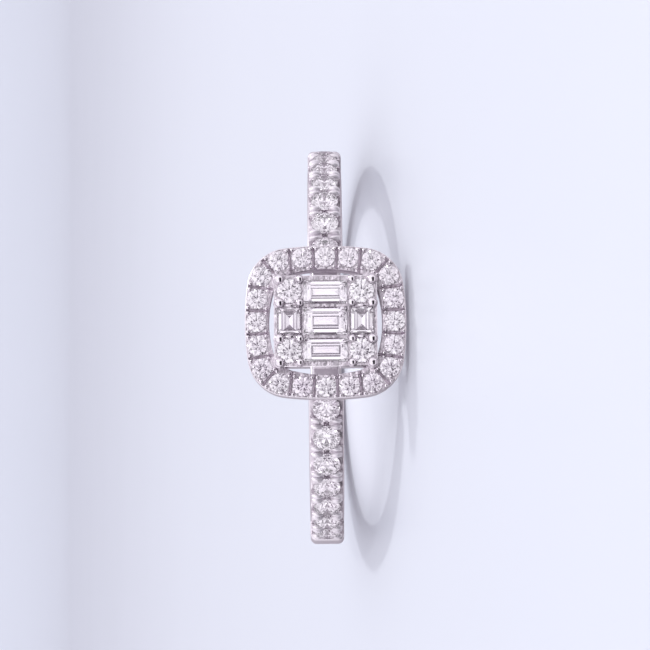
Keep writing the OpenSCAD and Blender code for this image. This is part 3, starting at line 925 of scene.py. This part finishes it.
def build_cluster_prongs():
    """Four domed prongs on matte collars round every corner stone, and a thin lip beside it."""
    cluster = bpy.context.scene.ring_cluster
    deck = tray_top()
    outer, inner, lips = [], [], []
    for name in CORNER_ROUNDS:
        spot = stone_place(name)[0].translation
        sx = math.copysign(1, spot.x)
        sy = math.copysign(1, spot.y)
        for dx in (-1, 1):
            for dy, row in ((-1, inner), (1, outer)):
                x = spot.x + sx * dx * cluster.prong_x
                y = spot.y + sy * dy * cluster.prong_y
                row.append(Matrix.Translation((x, y, deck)))
        lips.append(Matrix.Translation((sx * cluster.lip_x, spot.y, deck)))
    rows = (("outer", outer, cluster.outer_prong), ("inner", inner, cluster.inner_prong))
    for label, places, r in rows:
        name = label + "_prongs"
        raised = Matrix.Translation((0, 0, cluster.prong_height - r))
        tops = [raised @ place for place in places]
        add_prongs(name, tops, polished_white_gold, (r, r), height=r, root=0.6 * MM, steps=(28, 20))
    collar_share = 1.28
    for label, places, r in rows:
        name = label + "_collars"
        half = (collar_share * r, collar_share * r)
        add_prongs(name, places, satin_white_gold, half, height=0.12 * MM, root=0.2 * MM, steps=(28, 12))
    name = "cluster_lips"
    half = (0.09 * MM, 0.26 * MM)
    add_prongs(name, lips, polished_white_gold, half, height=0.08 * MM, root=0.1 * MM, steps=(24, 12))


# A baguette from its table to its girdle: inset and height, as shares of its half width
CROWN_ROWS = ((0.36, 0.3), (0.16, 0.22), (0.0, 0.06), (0.0, 0.0))

# The steps under a baguette, from its girdle down: share of its half width, and how much steeper it is
STEP_ROWS = ((0.1, 2.4), (0.13, 0.1), (0.12, 2.0), (0.14, 0.3), (0.1, -1.9), (0.13, 0.0))

# The last step down to the keel: its lean, and how far the keel stops short of the step's end
KEEL_LEAN = -2.5
KEEL_END = 1.2


def add_step_cut(shape, place, long_half, short_half, crown_end, pavilion_end):
    """A step-cut stone along its place's X: nested rectangles from the table down to a keel."""
    steep = bpy.context.scene.ring_cluster.steep
    rows = [(inset * short_half, height * short_half, crown_end) for inset, height in CROWN_ROWS]
    inset = height = 0.0
    for share, lean in STEP_ROWS:
        inset += share * short_half
        height -= share * short_half * math.tan(steep + math.radians(lean))
        rows.append((inset, height, pavilion_end))
    rings = []
    for row_inset, row_height, end in rows:
        x = long_half - end * row_inset
        y = short_half - row_inset
        rings.append([shape.verts.new(place @ Vector((u * x, v * y, row_height))) for u, v in CORNERS])
    rest = short_half - inset
    height -= rest * math.tan(steep + math.radians(KEEL_LEAN))
    keel_x = long_half - pavilion_end * inset - KEEL_END * rest
    keel = [shape.verts.new(place @ Vector((u * keel_x, 0, height))) for u in (1, -1)]
    shape.faces.new(rings[0])
    for upper, lower in zip(rings, rings[1:]):
        for k in range(4):
            shape.faces.new((upper[k], upper[(k + 1) % 4], lower[(k + 1) % 4], lower[k]))
    last = rings[-1]
    shape.faces.new((last[0], last[1], keel[1], keel[0]))
    shape.faces.new((last[2], last[3], keel[0], keel[1]))
    shape.faces.new((last[1], last[2], keel[1]))
    shape.faces.new((last[3], last[0], keel[0]))


def build_baguettes():
    """The five step-cut stones: three across the finger's line and one at either side."""
    for name in MIDDLE_BAGUETTES + SIDE_BAGUETTES:
        place, across, along = stone_place(name)
        shape = bmesh.new()
        if name in MIDDLE_BAGUETTES:
            turned = place @ Matrix.Rotation(math.pi / 2, 4, "Z")
            add_step_cut(shape, turned, along / 2, across / 2, crown_end=1.7, pavilion_end=1.0)
        else:
            add_step_cut(shape, place, across / 2, along / 2, crown_end=0.8, pavilion_end=0.78)
        piece = add_object("cut_" + name, mesh_from(shape, name), cut_diamond)
        piece.data.transform(LAID)
        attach(piece, "root")
        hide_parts(name)


def finish_stones():
    """Gives every round stone of the frame its diamond finish."""
    for name in HALO_STONES + LEFT_STONES + RIGHT_STONES + CORNER_ROUNDS:
        mesh = frame["nodes"][name].data
        mesh.materials.clear()
        mesh.materials.append(made_once(cut_diamond))


def build_studio():
    """A pale floor that sweeps up behind the ring, soft light, and the camera in front of the head."""
    half_width = 1500 * MM
    front = -700 * MM
    back = 500 * MM
    sweep = 200 * MM
    wall_top = 1000 * MM
    steps = 16
    rows = [(front, 0.0), (back, 0.0)]
    for k in range(1, steps + 1):
        a = math.pi / 2 * k / steps
        rows.append((back + sweep * math.sin(a), sweep * (1 - math.cos(a))))
    rows.append((back + sweep, wall_top))
    points = [(x, y, z) for y, z in rows for x in (-half_width, half_width)]
    faces = [(2 * k, 2 * k + 1, 2 * k + 3, 2 * k + 2) for k in range(len(rows) - 1)]
    mesh = bpy.data.meshes.new("floor")
    mesh.from_pydata(points, [], faces)
    mesh.shade_smooth()
    floor = add_object("floor", mesh, floor_acrylic_sheet)
    # Metal and stones mirror the studio's walls where the floor would be
    floor.visible_glossy = False
    floor.visible_transmission = False
    add_surrounding()
    add_lights()
    add_camera()


def studio_axes():
    """The studio's right, up and back: its front lies before the head, a little towards -X."""
    studio = bpy.context.scene.ring_studio
    back = math.cos(studio.below) * head_normal - math.sin(studio.below) * band_way
    up = math.cos(studio.below) * band_way + math.sin(studio.below) * head_normal
    up = Matrix.Rotation(studio.roll, 3, back) @ up
    return up.cross(back), up, back


def add_surrounding():
    """The studio round the ring: pale walls, with dark fields that show the shape of metal and stones."""
    studio = bpy.context.scene.ring_studio
    world = bpy.data.worlds.new("surrounding")
    bpy.context.scene.world = world
    world.use_nodes = True
    tree = world.node_tree
    tree.nodes.clear()
    right, up, back = studio_axes()

    # The way a ray goes, and the facing of a surface that mirrors it towards the studio's front
    way = add_node(tree, "ShaderNodeTexCoord").outputs["Generated"]
    half_way = add_node(tree, "ShaderNodeVectorMath", {0: way, 1: back}, operation="ADD").outputs["Vector"]
    facing = add_node(tree, "ShaderNodeVectorMath", {0: half_way}, operation="NORMALIZE").outputs["Vector"]

    # What reflections see in full, and light that has passed through a stone at a small share
    path = add_node(tree, "ShaderNodeLightPath").outputs
    through = path["Is Transmission Ray"]
    through_loss = 0.88
    share = add_node(tree, "ShaderNodeMath", {0: through, 1: -through_loss, 2: 1.0}, operation="MULTIPLY_ADD")
    sockets = {0: path["Is Glossy Ray"], 1: share.outputs[0]}
    mirrored = add_node(tree, "ShaderNodeMath", sockets, operation="MULTIPLY").outputs[0]

    # Each field: the factor and the rest that turn its share into a tone, who sees it, and its eases.
    # Each ease: vector, axis, from where to where along it, and the values there
    fields = (
        # The pale walls
        (
            (1.0, 0.0, 1.0),
            (way, up, -0.8, -0.2, 1.15, 1.0),
            (way, up, 0.2, 0.8, 1.0, 1.12),
            (way, right, -0.7, 0.5, 1.15, 0.95),
            (way, back, -0.1, 0.5, 0.95, 1.0),
            (way, back, 0.5, 0.8, 1.0, 1.12),
        ),
        # A dark flag in front of the head, which the stones' flat tables mirror
        (
            (-0.8, 1.0, 1.0),
            (way, right, -0.16, -0.08, 0, 1),
            (way, right, 0.08, 0.16, 1, 0),
            (way, up, -0.14, -0.07, 0, 1),
            (way, up, 0.18, 0.27, 1, 0),
            (way, back, 0.5, 0.6, 0, 1),
        ),
        # A dark upright strip, which every domed tip mirrors at its right side
        (
            (-0.95, 1.0, mirrored),
            (facing, right, 0.05, 0.1, 0, 1),
            (facing, right, 0.48, 0.54, 1, 0),
            (facing, up, -0.64, -0.52, 0, 1),
            (facing, up, 0.24, 0.36, 1, 0),
        ),
        # The darker rear, which gives the metal its tone where it faces away
        ((-0.4, 1.0, mirrored), (way, back, -0.8, 0.05, 1, 0)),
    )
    light = 1.0
    for (factor, rest, field), *eases in fields:
        for vector, axis, low, high, at_low, at_high in eases:
            along = add_node(tree, "ShaderNodeVectorMath", {0: vector, 1: axis}, operation="DOT_PRODUCT")
            sockets = {"Value": along.outputs["Value"], "From Min": low, "From Max": high}
            sockets.update({"To Min": at_low, "To Max": at_high})
            ease = add_node(tree, "ShaderNodeMapRange", sockets, interpolation_type="SMOOTHSTEP")
            sockets = {0: field, 1: ease.outputs["Result"]}
            field = add_node(tree, "ShaderNodeMath", sockets, operation="MULTIPLY").outputs[0]
        sockets = {0: field, 1: factor, 2: rest}
        tone = add_node(tree, "ShaderNodeMath", sockets, operation="MULTIPLY_ADD").outputs[0]
        light = add_node(tree, "ShaderNodeMath", {0: light, 1: tone}, operation="MULTIPLY").outputs[0]

    # Light that has passed through a stone meets an even pattern of gaps, which gives facets their contrast
    gap_depth = 1.1
    between_gaps = 0.11
    gaps = 1.0
    for axis, rate in ((right, 40.0), (up, 30.0)):
        along = add_node(tree, "ShaderNodeVectorMath", {0: way, 1: axis}, operation="DOT_PRODUCT")
        sockets = {0: along.outputs["Value"], 1: rate}
        turn = add_node(tree, "ShaderNodeMath", sockets, operation="MULTIPLY").outputs[0]
        swing = add_node(tree, "ShaderNodeMath", {0: turn}, operation="COSINE").outputs[0]
        sockets = {0: swing, 1: -0.5, 2: 0.5}
        wave = add_node(tree, "ShaderNodeMath", sockets, operation="MULTIPLY_ADD").outputs[0]
        gaps = add_node(tree, "ShaderNodeMath", {0: gaps, 1: wave}, operation="MULTIPLY").outputs[0]
    sockets = {0: gaps, 1: -gap_depth, 2: between_gaps}
    change = add_node(tree, "ShaderNodeMath", sockets, operation="MULTIPLY_ADD").outputs[0]
    change = add_node(tree, "ShaderNodeMath", {0: change, 1: through}, operation="MULTIPLY").outputs[0]
    sockets = {0: light, 1: change, 2: light}
    light = add_node(tree, "ShaderNodeMath", sockets, operation="MULTIPLY_ADD").outputs[0]

    sockets = {0: light, 6: (*studio.dim, 1), 7: (*studio.bright, 1)}
    colour = add_node(tree, "ShaderNodeMix", sockets, data_type="RGBA").outputs[2]
    pale = add_node(tree, "ShaderNodeBackground", {"Color": colour, "Strength": light})
    add_node(tree, "ShaderNodeOutputWorld", {"Surface": pale.outputs["Background"]})


def add_lights():
    """Two small white lamps over the even light: the key casts the shadow, and both give sparks."""
    middle = Vector(hole["pos_m"])
    # Name, place and size in millimetres, and power in watts
    lamps = (("key", (110, 60, 240), 30, 0.16), ("spark", (40, -200, 160), 16, 0.05))
    for name, spot, size, power in lamps:
        lamp = bpy.data.lights.new(name, "AREA")
        lamp.shape = "DISK"
        lamp.size = size * MM
        lamp.energy = power
        holder = bpy.data.objects.new(name, lamp)
        holder.location = Vector(spot) * MM
        holder.rotation_euler = (middle - holder.location).to_track_quat("-Z", "Y").to_euler()
        bpy.context.scene.collection.objects.link(holder)


def add_camera():
    """A long lens in front of the head, turned so that the band stands upright in the picture."""
    scene = bpy.context.scene
    studio = scene.ring_studio
    right, up, back = studio_axes()
    lens = bpy.data.cameras.new("camera")
    lens.lens = studio.focal_share * lens.sensor_width
    lens.clip_start = 1 * MM
    lens.clip_end = 10000 * MM
    eye = bpy.data.objects.new("camera", lens)
    spot = Vector(hole["pos_m"]) + studio.distance * back + studio.aim_up * up - studio.aim_left * right
    eye.matrix_world = Matrix.Translation(spot) @ Matrix((right, up, back)).transposed().to_4x4()
    scene.collection.objects.link(eye)
    scene.camera = eye
    scene.view_settings.view_transform = "Standard"
    # Light crosses a cut stone many times, and with fewer bounces its facets turn black
    scene.cycles.max_bounces = 32
    scene.cycles.transmission_bounces = 32
    scene.cycles.glossy_bounces = 16


class StepOperator:
    """What every step's operator shares: it runs the step's builder, whose errors stop the script."""

    bl_options = {"REGISTER", "UNDO"}

    def execute(self, context):
        self.build()
        return {"FINISHED"}


class HALORING_OT_band(StepOperator, bpy.types.Operator):
    """Builds the shank, the base of the shoulders and the bridge"""

    bl_idname = "halo_ring.band"
    bl_label = "Band"
    build = staticmethod(build_band)


class HALORING_OT_shoulders(StepOperator, bpy.types.Operator):
    """Builds the scalloped walls of both shoulders"""

    bl_idname = "halo_ring.shoulders"
    bl_label = "Shoulders"
    build = staticmethod(build_shoulders)


class HALORING_OT_shoulder_prongs(StepOperator, bpy.types.Operator):
    """Stands the split prongs on the shoulders' walls"""

    bl_idname = "halo_ring.shoulder_prongs"
    bl_label = "Shoulder prongs"
    build = staticmethod(build_shoulder_prongs)


class HALORING_OT_halo(StepOperator, bpy.types.Operator):
    """Builds the halo's frame with its seats and grooves"""

    bl_idname = "halo_ring.halo"
    bl_label = "Halo frame"
    build = staticmethod(build_halo)


class HALORING_OT_halo_beads(StepOperator, bpy.types.Operator):
    """Stands the beads on the halo's frame"""

    bl_idname = "halo_ring.halo_beads"
    bl_label = "Halo beads"
    build = staticmethod(build_halo_beads)


class HALORING_OT_tray(StepOperator, bpy.types.Operator):
    """Builds the tray of the cluster"""

    bl_idname = "halo_ring.tray"
    bl_label = "Tray"
    build = staticmethod(build_tray)


class HALORING_OT_posts(StepOperator, bpy.types.Operator):
    """Builds the posts under the tray"""

    bl_idname = "halo_ring.posts"
    bl_label = "Posts"
    build = staticmethod(build_posts)


class HALORING_OT_cluster_prongs(StepOperator, bpy.types.Operator):
    """Stands the domed prongs, their collars and the lips on the tray"""

    bl_idname = "halo_ring.cluster_prongs"
    bl_label = "Cluster prongs"
    build = staticmethod(build_cluster_prongs)


class HALORING_OT_baguettes(StepOperator, bpy.types.Operator):
    """Cuts the five baguettes of the cluster"""

    bl_idname = "halo_ring.baguettes"
    bl_label = "Baguettes"
    build = staticmethod(build_baguettes)


class HALORING_OT_stones(StepOperator, bpy.types.Operator):
    """Finishes every round stone"""

    bl_idname = "halo_ring.stones"
    bl_label = "Round stones"
    build = staticmethod(finish_stones)


class HALORING_OT_studio(StepOperator, bpy.types.Operator):
    """Sets up the floor, the light and the camera"""

    bl_idname = "halo_ring.studio"
    bl_label = "Studio"
    build = staticmethod(build_studio)


STEPS = (
    HALORING_OT_band,
    HALORING_OT_shoulders,
    HALORING_OT_shoulder_prongs,
    HALORING_OT_halo,
    HALORING_OT_halo_beads,
    HALORING_OT_tray,
    HALORING_OT_posts,
    HALORING_OT_cluster_prongs,
    HALORING_OT_baguettes,
    HALORING_OT_stones,
    HALORING_OT_studio,
)


class HALORING_PT_steps(bpy.types.Panel):
    """Lists the steps that build the ring, and its sizes"""

    bl_label = "Halo Ring"
    bl_space_type = "VIEW_3D"
    bl_region_type = "UI"
    bl_category = "Halo Ring"

    def draw(self, context):
        for step in STEPS:
            self.layout.operator(step.bl_idname)
        for group, kind in GROUPS.items():
            box = self.layout.box()
            for name in kind.__annotations__:
                box.prop(getattr(context.scene, group), name)


def register():
    """Registers the classes, and gives the scene its sizes and colours."""
    for kind in (*GROUPS.values(), *STEPS, HALORING_PT_steps):
        bpy.utils.register_class(kind)
    for name, kind in GROUPS.items():
        setattr(bpy.types.Scene, name, PointerProperty(type=kind))


def unregister():
    """Takes the sizes, the colours and the classes away again."""
    for name in GROUPS:
        delattr(bpy.types.Scene, name)
    for kind in reversed((*GROUPS.values(), *STEPS, HALORING_PT_steps)):
        bpy.utils.unregister_class(kind)


def main():
    """Runs every step in order."""
    register()
    for step in STEPS:
        group, name = step.bl_idname.split(".")
        getattr(getattr(bpy.ops, group), name)()


if __name__ == "__main__":
    main()
